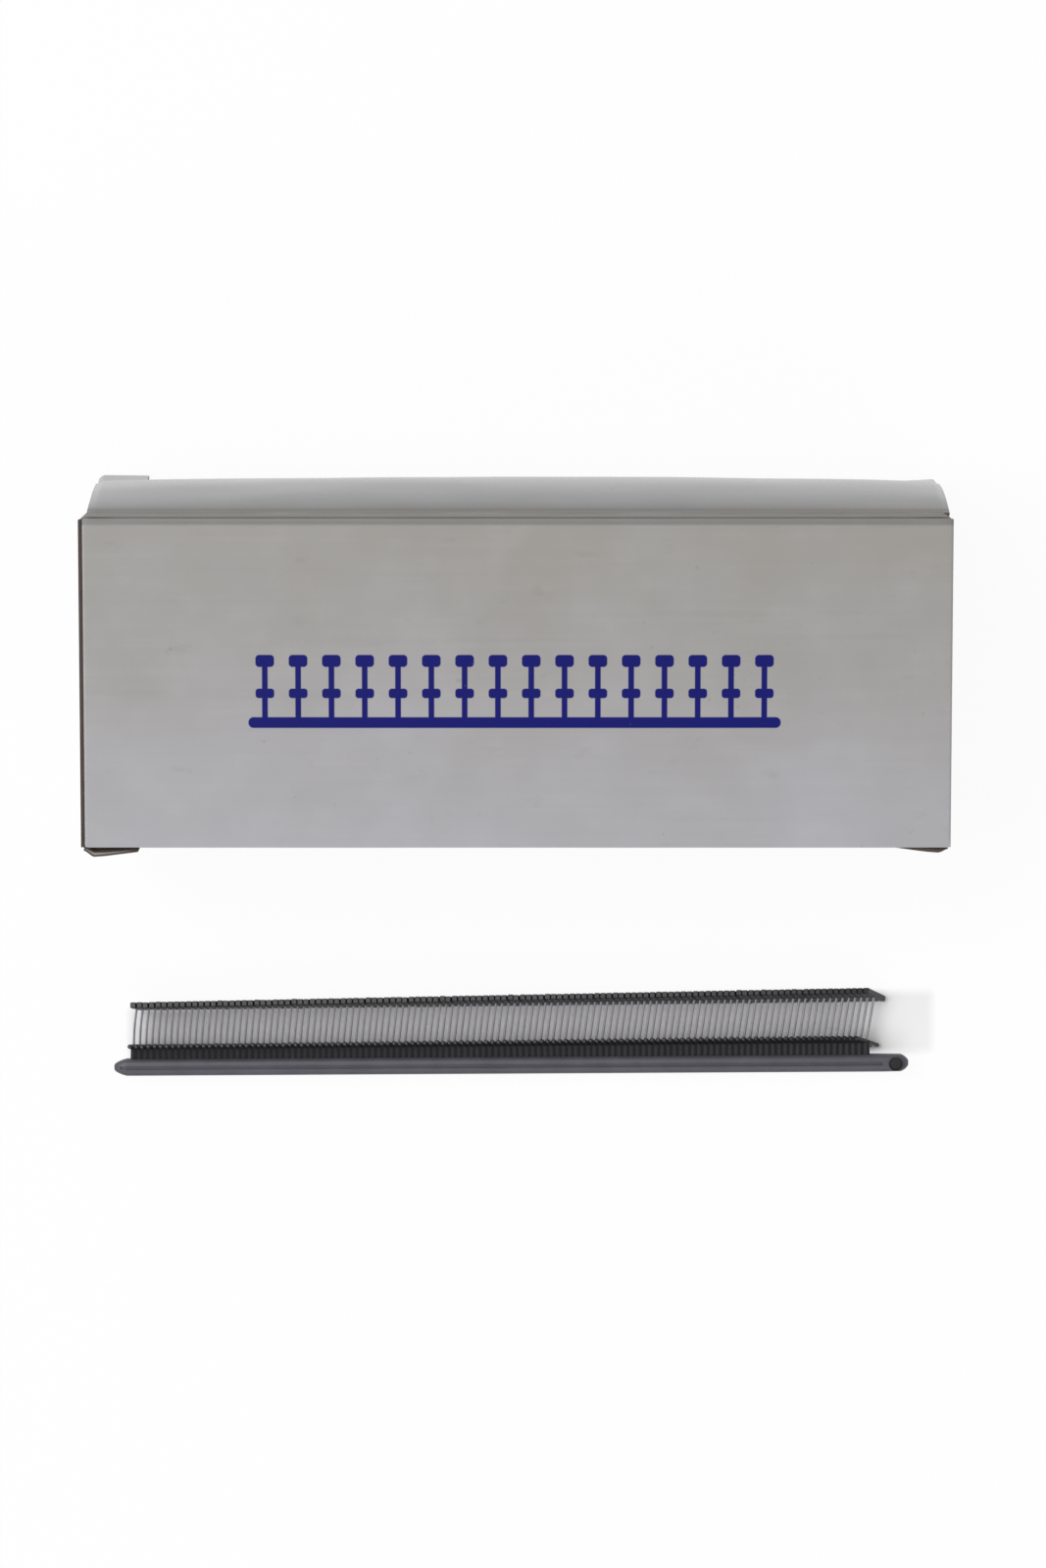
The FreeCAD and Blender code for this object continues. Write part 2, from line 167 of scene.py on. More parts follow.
RUNNER_END = 0.5 * MM
RUNNER_TAPER = 2.6 * MM  # of its left end
RUNNER_SHORT_TAPER = 1.6 * MM  # of its right end, beyond the stud
RUNNER_TIP_LOSS = 0.62  # share of its thickness that it loses to its very ends
RUNNER_TAPER_POWER = 1.8  # 1 is a straight taper
GROOVE_WIDTH = 0.55 * MM
GROOVE_DEPTH = 0.4 * MM
STUD_DIAMETER = 2.2 * MM
STUD_HEIGHT = 0.4 * MM
STUD_SIDES = 20
STUD_INSET = 2.1 * MM
STUD_RIM = 0.06 * MM
STUD_HOLLOW = 0.33 * MM
STUD_FUNNEL = 0.1 * MM

# How the clip taken out lies. Each pair is for its first pin and its last.
CLIP_TURN = math.radians(0.35)
LEAN_BACK = (13.0, 22.5)
LEAN_SIDE = (8.0, 20.0)
PADDLE_DRIFT = (0.64 * MM, 1.27 * MM)
PADDLE_SPREAD = (-0.6 * MM, 0.6 * MM)
T_BAR_SQUEEZE = (0.5 * MM, 0.2 * MM)  # how much nearer the runner the T-bars lie
LAST_FLARE = 17.0  # degrees that the last pin leans further than the ones before it
PADDLE_FLARE = 10.0
FLARE_POWER = 12  # how suddenly the last pins do
BOW_POWER = 6  # how fast the first pins' bow is lost
FIRST_BOW = 0.15 * MM  # sideways bow of the first pins' filaments
UNEVENNESS = 1.6  # degrees


# ==== Finishes ====

CORE_TINT = 1.7  # how much lighter the core is than the layers beside it
RUNNER_SHEEN_TINT = 7.2  # how much lighter the runner is painted: a painted sheen that stands for its highlights
DUST_COLOR = (0.16, 0.155, 0.15)
PALE_FIBRES = (1.0, 0.99, 0.97)


def math_method(operation, clamp=False):
    """A method that adds a Math node of a value and what the method is given."""

    def method(self, other=0.0):
        settings = {"operation": operation, "use_clamp": clamp}
        return self.tree.node("ShaderNodeMath", settings, {0: self, 1: other})

    return method


class Varying:
    """A value that varies over a surface. An expression on it adds its Math nodes."""

    def __init__(self, tree, socket):
        self.tree = tree
        self.socket = socket

    __add__ = __radd__ = math_method("ADD")
    __sub__ = math_method("SUBTRACT")
    __mul__ = __rmul__ = math_method("MULTIPLY")
    __truediv__ = math_method("DIVIDE")
    __mod__ = math_method("FLOORED_MODULO")
    __pow__ = math_method("POWER")
    __abs__ = math_method("ABSOLUTE")
    sign = math_method("SIGN")
    at_least = math_method("MAXIMUM")
    clamped = math_method("ADD", clamp=True)

    def __rsub__(self, other):
        return self.tree.node("ShaderNodeMath", {"operation": "SUBTRACT"}, {0: other, 1: self})

    def above(self, level, softness):
        """0 below level, 1 above it, with a soft step between."""
        return ((self - level) / softness + 0.5).clamped()


class NodeTree:
    """The nodes of a material or of the world."""

    def __init__(self, owner):
        owner.use_nodes = True
        self.nodes = owner.node_tree.nodes
        self.links = owner.node_tree.links

    def node(self, kind, settings=None, values=None, output=0):
        """Adds a node, sets it up, feeds its sockets and returns one of its outputs."""
        made = self.nodes.new(kind)
        for name, value in (settings or {}).items():
            setattr(made, name, value)
        for name, value in (values or {}).items():
            self.feed(made.inputs[name], value)
        return Varying(self, made.outputs[output])

    def feed(self, socket, value):
        if isinstance(value, Varying):
            self.links.new(value.socket, socket)
        elif socket.type == "RGBA":
            socket.default_value = (*value[:3], 1)
        else:
            socket.default_value = value


class Finish(NodeTree):
    """A material and the nodes that make its look."""

    def __init__(self, name):
        self.material = bpy.data.materials.new(name)
        super().__init__(self.material)
        self.shader = self.nodes["Principled BSDF"]
        self.place = self.node("ShaderNodeTexCoord", output="Object")

    def set(self, **values):
        """Feeds the shader's own sockets. An underscore stands for a space."""
        for name, value in values.items():
            self.feed(self.shader.inputs[name.replace("_", " ")], value)

    def axes(self):
        return [self.node("ShaderNodeSeparateXYZ", values={0: self.place}, output=axis) for axis in "XYZ"]

    def noise(self, size, detail=2.0, rough=0.5, place=None):
        """Clouds about size across, from 0 to 1."""
        values = {"Vector": place or self.place, "Scale": 1 / size, "Detail": detail, "Roughness": rough}
        return self.node("ShaderNodeTexNoise", values=values)

    def streaks(self, per_metre, detail, rough=0.5):
        """The same with its own number of clouds to the metre along each axis."""
        place = self.node("ShaderNodeMapping", values={"Vector": self.place, "Scale": per_metre})
        return self.noise(1.0, detail, rough, place)

    def mix(self, share, first, second):
        """From the first colour to the second as share goes from 0 to 1."""
        settings = {"data_type": "RGBA", "blend_type": "MIX"}
        return self.node("ShaderNodeMix", settings, {0: share, 6: first, 7: second}, output=2)

    def bump(self, height, depth, strength=1.0):
        values = {"Height": height, "Distance": depth, "Strength": strength}
        self.set(Normal=self.node("ShaderNodeBump", values=values))


def tinted(color, share):
    """A colour made darker or lighter."""
    return [channel * share for channel in color]


def rounded_box(across, along, half_width, half_height, corner):
    """Distance outside a rectangle with rounded corners, from two distances to its middle."""
    over_x = (abs(across) - (half_width - corner)).at_least(0)
    over_y = (abs(along) - (half_height - corner)).at_least(0)
    return (over_x * over_x + over_y * over_y) ** 0.5 - corner


def clip_pictogram(x, y):
    """1 where ink lies: a plain picture of a clip, with a bar that carries a row of pins."""
    middle_x, middle_y = -0.2 * MM, -1.1 * MM
    half_width, half_height = 41.2 * MM, 5.7 * MM
    pitch = 5.15 * MM
    bar, stem, block, cap = 1.7 * MM, 0.9 * MM, 2.9 * MM, 1.9 * MM
    soft = 0.12 * MM
    across = x - middle_x
    up = y - (middle_y - half_height)
    beside = (across + half_width) % pitch - pitch / 2
    inside = 1 - abs(across).above(half_width - SAME, SAME)
    runner = rounded_box(across, up - bar / 2, half_width, bar / 2, 0.8 * MM)
    stems = (abs(beside) - stem / 2).at_least(abs(up - half_height) - (half_height - bar / 2))
    blocks = rounded_box(beside, up - 5.4 * MM, block / 2, 0.75 * MM, 0.5 * MM)
    caps = rounded_box(beside, up - (2 * half_height - cap / 2), block / 2, cap / 2, 0.6 * MM)
    ink = (runner * -1).above(0, soft)
    for shape in (stems, blocks, caps):
        ink = ink.at_least((shape * -1).above(0, soft) * inside)
    return ink


def liner_finish(finish, look, printed=False):
    """The carton's outer side: clay-coated board, streaked along the machine direction. Its colour also holds painted
    shade: warmer and darker towards the sleeve's top end, dark along the crease, and darker towards the closures'
    hinge.
    """
    x, y, z = finish.axes()
    clouds = finish.noise(26 * MM, 3)
    blotches = finish.noise(7 * MM, 2)
    fibres = finish.noise(0.22 * MM, 3, 0.7)
    streaks = finish.streaks((24, 900, 900), 3, 0.6)
    lines = finish.streaks((12, 380, 380), 1).above(0.68, 0.06)
    specks = finish.noise(1.6 * MM, 1).above(0.79, 0.03)
    smudges = finish.streaks((140, 260, 260), 3, 0.6).above(0.68, 0.1)
    # Painted shade: the printed side goes from its warmer, darker tone at the sleeve's top end to its own colour
    # towards the bottom end, and the closures keep more of their own colour.
    cool = (0.45 - y / (2.2 * SLEEVE_END)).clamped()
    side = y.sign()
    outward = y * side - HINGE.y
    upward = (z - DEPTH / 2) * side - (HINGE.z - DEPTH / 2)
    cool = (cool + outward.above(0.9 * MM, 0.6 * MM) * 0.6).clamped()
    color = finish.mix((cool + (clouds - 0.5) * 1.1).clamped(), look.shaded_warm_liner, look.cool_liner)
    shade = (streaks - 0.5) * 0.06 + (blotches - 0.5) * 0.10 + (fibres - 0.5) * 0.06
    dirt = (lines * 0.03 + smudges * 0.08 + specks * 0.16 - shade).clamped()
    color = finish.mix(dirt, color, tinted(look.shaded_warm_liner, 0.3))
    color = finish.mix(shade.clamped(), color, PALE_FIBRES)
    # Painted shade: a band along the crease ridge is mixed towards a dark tone. The band is also rougher.
    from_hinge = (outward * outward + upward * upward) ** 0.5
    crease_shade = 1 - from_hinge.above(1.95 * MM, 0.35 * MM)
    crease_shade = crease_shade * (1 - outward.above(0.55 * MM, 0.3 * MM))
    color = finish.mix(crease_shade * (0.4 + 0.25 * streaks), color, tinted(look.shaded_warm_liner, 0.35))
    beyond = outward.above(0.4 * MM, 0.3 * MM)
    # Painted shade: the closures are painted darker towards the end they hinge on.
    hinge_shade = 0.32 * upward.above(-30 * MM, 12 * MM) + 0.22 * upward.above(-5 * MM, 9 * MM)
    color = finish.mix(beyond * hinge_shade, color, (0.0, 0.0, 0.0))
    if printed:
        worn = finish.noise(0.5 * MM, 2).above(0.77, 0.04)
        ink = clip_pictogram(x, y) * (1 - worn * 0.6)
        tone = finish.mix((blotches * 0.5 + fibres * 0.3).clamped(), look.ink, tinted(look.ink, 1.3))
        color = finish.mix(ink, color, tone)
    finish.set(Base_Color=color, Roughness=0.17 + 0.1 * fibres + 0.2 * crease_shade, Specular_IOR_Level=0.4)
    finish.bump(fibres * 0.4 + streaks * 0.5 + blotches * 0.5, 0.025 * MM, 0.6)


def inside_finish(finish, look):
    """The carton's uncoated inner side, grey-brown with darker fibres."""
    clouds = finish.noise(9 * MM, 3)
    fibres = finish.streaks((900, 2600, 2600), 4, 0.7)
    flecks = finish.noise(0.5 * MM, 2).above(0.7, 0.05)
    color = finish.mix(clouds, look.inside, tinted(look.inside, 0.84))
    color = finish.mix(flecks * 0.5 + (fibres - 0.4).clamped() * 0.5, color, tinted(look.core, 1.2))
    finish.set(Base_Color=color, Roughness=0.82 + 0.1 * fibres, Specular_IOR_Level=0.25)
    finish.bump(fibres + clouds * 0.4, 0.05 * MM, 0.8)


def raw_finish(finish, look, tint=1.0):
    """The cut edge, brown and torn into thin layers."""
    layers = finish.noise(0.09 * MM, 3, 0.7)
    patches = finish.noise(2.5 * MM, 3)
    color = finish.mix(layers, tinted(look.core, 0.55 * tint), tinted(look.core, 1.25 * tint))
    color = finish.mix((patches - 0.35).clamped() * 0.9, color, tinted(look.core, 0.5 * tint))
    finish.set(Base_Color=color, Roughness=0.9, Specular_IOR_Level=0.15)
    finish.bump(layers, 0.08 * MM)


def plastic_finish(finish, look, tint=1.0):
    """Black moulded plastic, dulled by handling. A tint above 1 paints it lighter, as a painted sheen."""
    dulled = finish.noise(3 * MM, 3)
    grain = finish.noise(0.12 * MM, 2)
    flow = finish.streaks((90, 1500, 1500), 2, 0.5)
    dust = finish.noise(0.35 * MM, 2).above(0.73, 0.03)
    color = finish.mix(dulled, tinted(look.plastic, tint), tinted(look.plastic, 1.6 * tint))
    color = finish.mix(dust * 0.5, color, DUST_COLOR)
    finish.set(
        Base_Color=color, Roughness=0.28 + 0.14 * dulled + 0.08 * grain + 0.08 * flow, Specular_IOR_Level=0.45)
    finish.bump(grain * 0.4 + flow, 0.02 * MM, 0.5)


def filament_finish(finish, look):
    """The same plastic drawn out to a thread, painted a lighter grey that stands for the light that comes through it.
    """
    drawn = finish.noise(0.8 * MM, 2)
    color = finish.mix(drawn, tinted(look.filament, 0.75), tinted(look.filament, 1.2))
    finish.set(Base_Color=color, Roughness=0.3 + 0.15 * drawn)


def finish_named(name, make, look, **options):
    if name not in bpy.data.materials:
        make(Finish(name), look, **options)
    return bpy.data.materials[name]


def pin_finishes():
    look = bpy.context.scene.tag_pin_clips
    return [
        finish_named("black_plastic", plastic_finish, look),
        finish_named("drawn_plastic", filament_finish, look),
        # The runner's finish is painted lighter: a painted sheen in place of its highlights.
        finish_named("sheen_painted_plastic", plastic_finish, look, tint=RUNNER_SHEEN_TINT),
    ]


def board_finishes(printed=False):
    """Finishes in the order of a board piece's material slots."""
    look = bpy.context.scene.tag_pin_carton
    return [
        finish_named("printed_liner" if printed else "plain_liner", liner_finish, look, printed=printed),
        finish_named("inner_board", inside_finish, look),
        finish_named("raw_edge", raw_finish, look),
        finish_named("raw_core", raw_finish, look, tint=CORE_TINT),
    ]


# ==== Mesh helpers ====


def smooth_step(share):
    share = min(max(share, 0.0), 1.0)
    return share * share * (3 - 2 * share)


def bend(bm, distance):
    """Moves every point by what distance says of it."""
    for vert in bm.verts:
        vert.co = distance(vert.co)


def bevel(bm, edges, offset, segments=1):
    bmesh.ops.bevel(
        bm, geom=edges, offset=offset, offset_type="OFFSET", segments=segments, profile=0.5,
        affect="EDGES", material=-1)


def cut_mesh(bm, place, across, remove=False):
    """Cuts along a plane. What lies on the side that across points to may be removed."""
    everything = bm.verts[:] + bm.edges[:] + bm.faces[:]
    bmesh.ops.bisect_plane(
        bm, geom=everything, dist=SAME, plane_co=place, plane_no=across, clear_outer=remove)


def new_mesh(bm, name, slot=0):
    for face in bm.faces if slot else ():
        face.material_index = slot
    mesh = bpy.data.meshes.new(name)
    bm.to_mesh(mesh)
    bm.free()
    return mesh


def new_object(name, data):
    made = bpy.data.objects.new(name, data)
    bpy.context.scene.collection.objects.link(made)
    return made


def discard(*meshes):
    for mesh in meshes:
        bpy.data.meshes.remove(mesh)


def block(size, middle=(0, 0, 0)):
    bm = bmesh.new()
    bmesh.ops.create_cube(bm, size=1)
    bmesh.ops.scale(bm, vec=size, verts=bm.verts)
    bmesh.ops.translate(bm, vec=middle, verts=bm.verts)
    return bm


def cylinder(diameter, length, sides, top_diameter=None):
    """A round rod along Z, with its middle at the origin."""
    bm = bmesh.new()
    bmesh.ops.create_cone(
        bm, segments=sides, radius1=diameter / 2, radius2=(top_diameter or diameter) / 2, depth=length,
        cap_ends=True)
    return bm


def add_piece(bm, name, node, finishes):
    """Makes the finished mesh a piece that stands for a CAD node and moves with its body."""
    mesh = new_mesh(bm, name)
    for finish in finishes:
        mesh.materials.append(finish)
    mesh.shade_smooth()
    mesh.set_sharp_from_angle(angle=SHARP)
    piece = new_object(name, mesh)
    even = piece.modifiers.new("Even shading", "WEIGHTED_NORMAL")
    even.keep_sharp = True
    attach(piece, BODY_OF[node])
    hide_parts(node)


class Sheet:
    """A piece of board, cut flat in its own plane, laid in place and given its thickness."""

    def __init__(self, left, right, bottom, top, cell=CELL):
        self.bm = bmesh.new()
        columns = max(1, round((right - left) / cell))
        rows = max(1, round((top - bottom) / cell))
        bmesh.ops.create_grid(self.bm, x_segments=columns, y_segments=rows, size=0.5)
        bmesh.ops.scale(self.bm, vec=(right - left, top - bottom, 1), verts=self.bm.verts)
        bmesh.ops.translate(self.bm, vec=((left + right) / 2, (bottom + top) / 2, 0), verts=self.bm.verts)

    def cut(self, place, across, remove=False):
        """Cuts along a line. What lies on the side that across points to may be removed."""
        cut_mesh(self.bm, (*place[:2], 0), (*across[:2], 0), remove)

    def round_corner(self, corner, first, second, radius):
        """Rounds the corner between two edges, whose outward directions are first and second."""
        corner, first, second = Vector(corner), Vector(first).normalized(), Vector(second).normalized()
        middle = (first + second).normalized()
        centre = corner - middle * (radius / middle.dot(first))
        for step in range(1, CORNER_CUTS):
            share = step / CORNER_CUTS
            outward = first.lerp(second, share).normalized()
            self.cut(centre + outward * radius, outward, remove=True)

    def remove(self, unwanted):
        faces = [face for face in self.bm.faces if unwanted(face.calc_center_median())]
        bmesh.ops.delete(self.bm, geom=faces, context="FACES")

    def lay(self, place, outward):
        """Puts the sheet in place, with its printed side facing outward."""
        bend(self.bm, place)
        self.turn_to(outward)

    def turn_to(self, outward):
        self.bm.normal_update()
        facing = sum((face.normal for face in self.bm.faces), Vector())
        if facing.dot(outward) < 0:
            bmesh.ops.reverse_faces(self.bm, faces=self.bm.faces)

    def thicken(self):
        outer_faces = set(self.bm.faces)
        outer_verts = set(self.bm.verts)
        bmesh.ops.solidify(self.bm, geom=self.bm.faces[:], thickness=BOARD)
        for face in self.bm.faces:
            if face in outer_faces:
                face.material_index = LINER
            elif any(vert in outer_verts for vert in face.verts):
                face.material_index = RAW
            else:
                face.material_index = INSIDE

    def show_core(self, swollen=None):
        """Parts each cut edge into its dark outer layers and the core between them. Where the board has
        swollen, the layers are thicker and the core pale."""
        core = [face for face in self.bm.faces if face.material_index == RAW]
        loose = [face for face in core if swollen and swollen(face.calc_center_median())]
        tight = [face for face in core if face not in loose]
        for faces, ply, material in ((tight, PLY, CORE), (loose, SWOLLEN_PLY, INSIDE)):
            if faces:
                bmesh.ops.inset_region(
                    self.bm, faces=faces, thickness=ply, use_even_offset=True, use_boundary=True)
            for face in faces:
                face.material_index = material

    def print_over(self, chosen):
        """Lets the printed side go on over the cut edges that chosen picks."""
        for face in self.bm.faces:
            if face.material_index == RAW and chosen(face.calc_center_median()):
                face.material_index = LINER

    def fold(self, at_fold, radius, both_sides=False):
        """Rounds the sheet's rim where it is folded, and lets the printed side go on over it."""
        self.bm.normal_update()
        chosen = []
        for edge in self.bm.edges:
            sides = {face.material_index for face in edge.link_faces}
            wanted = RAW in sides and (LINER in sides or (both_sides and INSIDE in sides))
            if wanted and at_fold((edge.verts[0].co + edge.verts[1].co) / 2):
                chosen.append(edge)
        self.print_over(at_fold)
        bevel(self.bm, chosen, radius, FOLD_SEGMENTS)

    def add(self, name, node, right=False, bottom=False, printed=False):
        """Makes the sheet a piece. What is made for the left side and the lid's end is moved from there."""
        if right:
            bmesh.ops.scale(self.bm, vec=(-1, 1, 1), verts=self.bm.verts)
            bmesh.ops.reverse_faces(self.bm, faces=self.bm.faces)
        if bottom:
            turn = Matrix.Translation((0, 0, DEPTH)) @ Matrix.Rotation(math.pi, 4, "X")
            bmesh.ops.transform(self.bm, matrix=turn, verts=self.bm.verts)
        add_piece(self.bm, name, node, board_finishes(printed))


# ==== The sleeve ====


def shallow_dents(place, low, high, depth):
    """How far the board lies below its plane. Its borders stay in it."""
    inset = max(0, min(place[0] - low[0], high[0] - place[0], place[1] - low[1], high[1] - place[1]))
    broad = noise.noise(Vector((place[0], place[1], 3.0)) * (1 / BROAD_DENTS))
    small = noise.noise(Vector((place[0], place[1], 9.0)) * (1 / SMALL_DENTS))
    return depth * smooth_step(inset / FLAT_BORDER) * max(0.0, 0.5 + 0.8 * broad + 0.25 * small)


def sleeve_board(node, name, outward, folds, creased=None, printed=False):
    """The front or back panel, from its node's box. folds are (axis, side) of its folded borders, and
    creased is the end, 1 or -1 along Y, at which a closure turns on it."""
    look = bpy.context.scene.tag_pin_carton
    low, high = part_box(node)
    lip = CREASE_LIP * creased
    sheet = Sheet(low.x, high.x, low.y + min(lip, 0), high.y + max(lip, 0))
    for step in range(1, FOLD_SEGMENTS + 1):
        sheet.cut((0, creased * (SLEEVE_END - CREASE_DIP_WIDTH * step / FOLD_SEGMENTS)), (0, 1))
    sheet.cut((0, creased * SLEEVE_END), (0, 1))
    for side in (-1, 1):
        corner = (side * high.x, creased * (SLEEVE_END - LIP_CHAMFER[1]))
        slope = (side * (CREASE_LIP + LIP_CHAMFER[1]), creased * LIP_CHAMFER[0])
        sheet.cut(corner, slope, remove=True)
    if printed:
        for side, radius in zip((-1, 1), WORN_CORNERS):
            sheet.round_corner((side * high.x, low.y), (side, 0), (0, -1), radius)
    plane = high.z if outward.z > 0 else low.z

    def place(flat):
        sunk = shallow_dents(flat, low, high, look.dents)
        dip = CREASE_DIP * smooth_step((HALF_LENGTH - abs(flat.x)) / CREASE_DIP_END)
        sunk += dip * smooth_step((creased * flat.y - SLEEVE_END) / CREASE_DIP_WIDTH + 1)
        return Vector((flat.x, flat.y, plane - sunk * outward.z))

    def at_fold(co):
        return any(abs(co[way] - (high[way] if side > 0 else low[way])) < SAME for way, side in folds)

    sheet.lay(place, outward)
    sheet.thicken()
    tip = SLEEVE_END + CREASE_LIP - SAME
    sheet.print_over(lambda centre: centre.y * creased > tip)
    for vert in sheet.bm.verts:
        if vert.co.y * creased > tip and abs(vert.co.z - plane) > BOARD:
            vert.co.y -= lip
    sheet.fold(at_fold, look.fold_radius)
    sheet.show_core()
    sheet.add(name, node, printed=printed)


def side_board(node, name, outward, ragged=0.0):
    """A side panel, which keeps small corners beside the dust flaps that are cut from its ends."""
    look = bpy.context.scene.tag_pin_carton
    low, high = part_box(node)
    plane = high.x if outward.x > 0 else low.x
    sheet = Sheet(-TAB_END, TAB_END, low.z, high.z, FINE_CELL)
    flap_low, flap_high = DUST_LOW.z - FLAP_CLEARANCE, DUST_HIGH.z + FLAP_CLEARANCE
    for side in (-1, 1):
        sheet.cut((side * high.y, 0), (1, 0))
    for level in (flap_low, flap_high):
        sheet.cut((0, level), (0, 1))
    sheet.remove(lambda centre: abs(centre.x) > high.y and flap_low < centre.y < flap_high)

    def place(flat):
        sunk = shallow_dents(flat, low.yz, high.yz, look.dents)
        spot = Vector((plane - sunk * outward.x, flat.x, flat.y))
        if ragged and abs(flat.y - high.z) < SAME:
            spot.z -= ragged * abs(noise.noise(Vector((flat.x, 0, 0)) / RAGGED_STEP))
        return spot

    sheet.lay(place, outward)
    sheet.thicken()
    sheet.show_core()
    sheet.add(name, node)


def glue_board():
    """The flap that joins the sleeve's ends, glued inside the left side panel."""
    low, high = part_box("glue_flap")
    sheet = Sheet(low.y, high.y, low.z, high.z)
    for side in (-1, 1):
        slope = Vector((side * (high.z - low.z), -GLUE_TAPER))
        sheet.cut((side * high.y, high.z), slope, remove=True)
    sheet.lay(lambda flat: Vector((low.x, flat.x, flat.y)), -X_AXIS)
    sheet.thicken()
    sheet.show_core()
    sheet.add("glue_flap_board", "glue_flap")


# ==== Closures, made for the lid's end ====


def bowed_line(crease, bow):
    """The arc from a tuck crease up to the lid's hinge, bowed outward.

    Returns its length and a function from the distance before the crease, and the distance outside the
    middle of the board, to (y, z)."""
    start, end = Vector(HINGE.yz), Vector(crease.yz)
    chord = (end - start).length
    radius = (chord * chord / 4 + bow * bow) / (2 * bow)
    outward = Vector((start.y - end.y, end.x - start.x)) / chord
    centre = (start + end) / 2 - outward * (radius - bow)
    first_angle = math.atan2(end.y - centre.y, end.x - centre.x)

    def place(before_crease, outside):
        angle = first_angle + before_crease / radius
        reach = radius + outside
        return Vector((centre.x + reach * math.cos(angle), centre.y + reach * math.sin(angle)))

    return 2 * radius * math.asin(chord / 2 / radius), place


def shoulder_tip(across, crease, shape):
    """Where a shoulder ends, from how far it lies across the closure: (y, z) and how much it has swollen."""
    side = 0 if across < 0 else 1
    outer_lift, slit_lift = shape["lifts"][side]
    from_end = HALF_LID - abs(across)
    share = from_end / shape["shoulder"]
    rounded = 0.25 + 0.75 * smooth_step(from_end / shape["roundings"][side])
    lift = (outer_lift + (slit_lift - outer_lift) * share) * rounded
    drop = SHOULDER_DROP * (1 - smooth_step(lift / HANGING_LIFT))
    swelling = shape["swelling"][side] * (1 - share) * rounded
    return Vector((crease.y + lift + BOARD / 2, LID_LOW.z + drop)), swelling


def closure_board(name, node, crease, shape, bottom):
    """A closure panel: a bowed sheet with a shoulder beside each slit, and the ridge it turns on."""
    look = bpy.context.scene.tag_pin_carton
    half_crease = HALF_LID - shape["shoulder"]
    ends = [HALF_LID - inset for inset in shape["insets"]]
    along, up = shape["chamfer"]
    length, _ = bowed_line(crease, shape["bow"])
    sheet = Sheet(-ends[0], ends[1], 0, length)
    sheet.cut((0, SHOULDER_LENGTH), (0, 1))
    for side, end in zip((-1, 1), ends):
        sheet.cut((side * half_crease, 0), (1, 0))
        for step in range(1, 5):
            sheet.cut((side * (end - END_CURL * step / 5), 0), (1, 0))
        sheet.cut((side * (end - along), 0), (side * up, -along), remove=True)
    slits = [
        edge for edge in sheet.bm.edges
        if all(abs(abs(vert.co.x) - half_crease) < SAME for vert in edge.verts)
        and all(vert.co.y < SHOULDER_LENGTH + SAME for vert in edge.verts)
    ]
    bmesh.ops.split_edges(sheet.bm, edges=slits)
    swellings = {}
    for vert in sheet.bm.verts:
        across, before = vert.co.x, vert.co.y
        apart = all(abs(face.calc_center_median().x) > half_crease for face in vert.link_faces)
        side = 1 if across > 0 else 0
        from_end = ends[side] - abs(across)
        flare = shape["flares"][side] * max(0, 1 - before / length) ** 2
        flared = across + math.copysign(flare * smooth_step(1 - from_end / FLARE_WIDTH), across)
        curl = 1 - END_CURL_SHARE * (1 - smooth_step(from_end / END_CURL))
        bow = shape["bow"] + (shape["side_bow"] - shape["bow"]) * (across / HALF_LID) ** 2
        _, place = bowed_line(crease, bow * curl)
        if apart and before < SHOULDER_LENGTH:
            root = place(SHOULDER_LENGTH, BOARD / 2)
            tip, swelling = shoulder_tip(across, crease, shape)
            spot = tip.lerp(root, before / SHOULDER_LENGTH)
            swellings[vert] = swelling * (1 - before / SHOULDER_LENGTH) ** 2
        else:
            spot = place(max(before, BOARD * 0.7), BOARD / 2)
        ripple = noise.noise(Vector((across / (16 * MM), before / (9 * MM), 5.0)))
        fade = smooth_step(before / (8 * MM)) * smooth_step((length - before) / (6 * MM))
        vert.co = Vector((flared, spot.x - look.dents * fade * (0.5 + ripple), spot.y))
    sheet.turn_to(Y_AXIS)
    sheet.thicken()
    for vert, swelling in swellings.items():
        behind = [edge.other_vert(vert) for edge in vert.link_edges if edge.calc_length() < BOARD * 1.2]
        for other in behind:
            if other not in swellings and {face.material_index for face in other.link_faces} & {INSIDE}:
                other.co.y -= swelling
    swollen_from = half_crease if shape["swelling"][0] else HALF_LID
    sheet.show_core(lambda centre: centre.x < -swollen_from and centre.z < LID_LOW.z + up)
    bead = crease_bead(look)
    sheet.bm.from_mesh(bead)
    discard(bead)
    sheet.add(name, node, bottom=bottom)


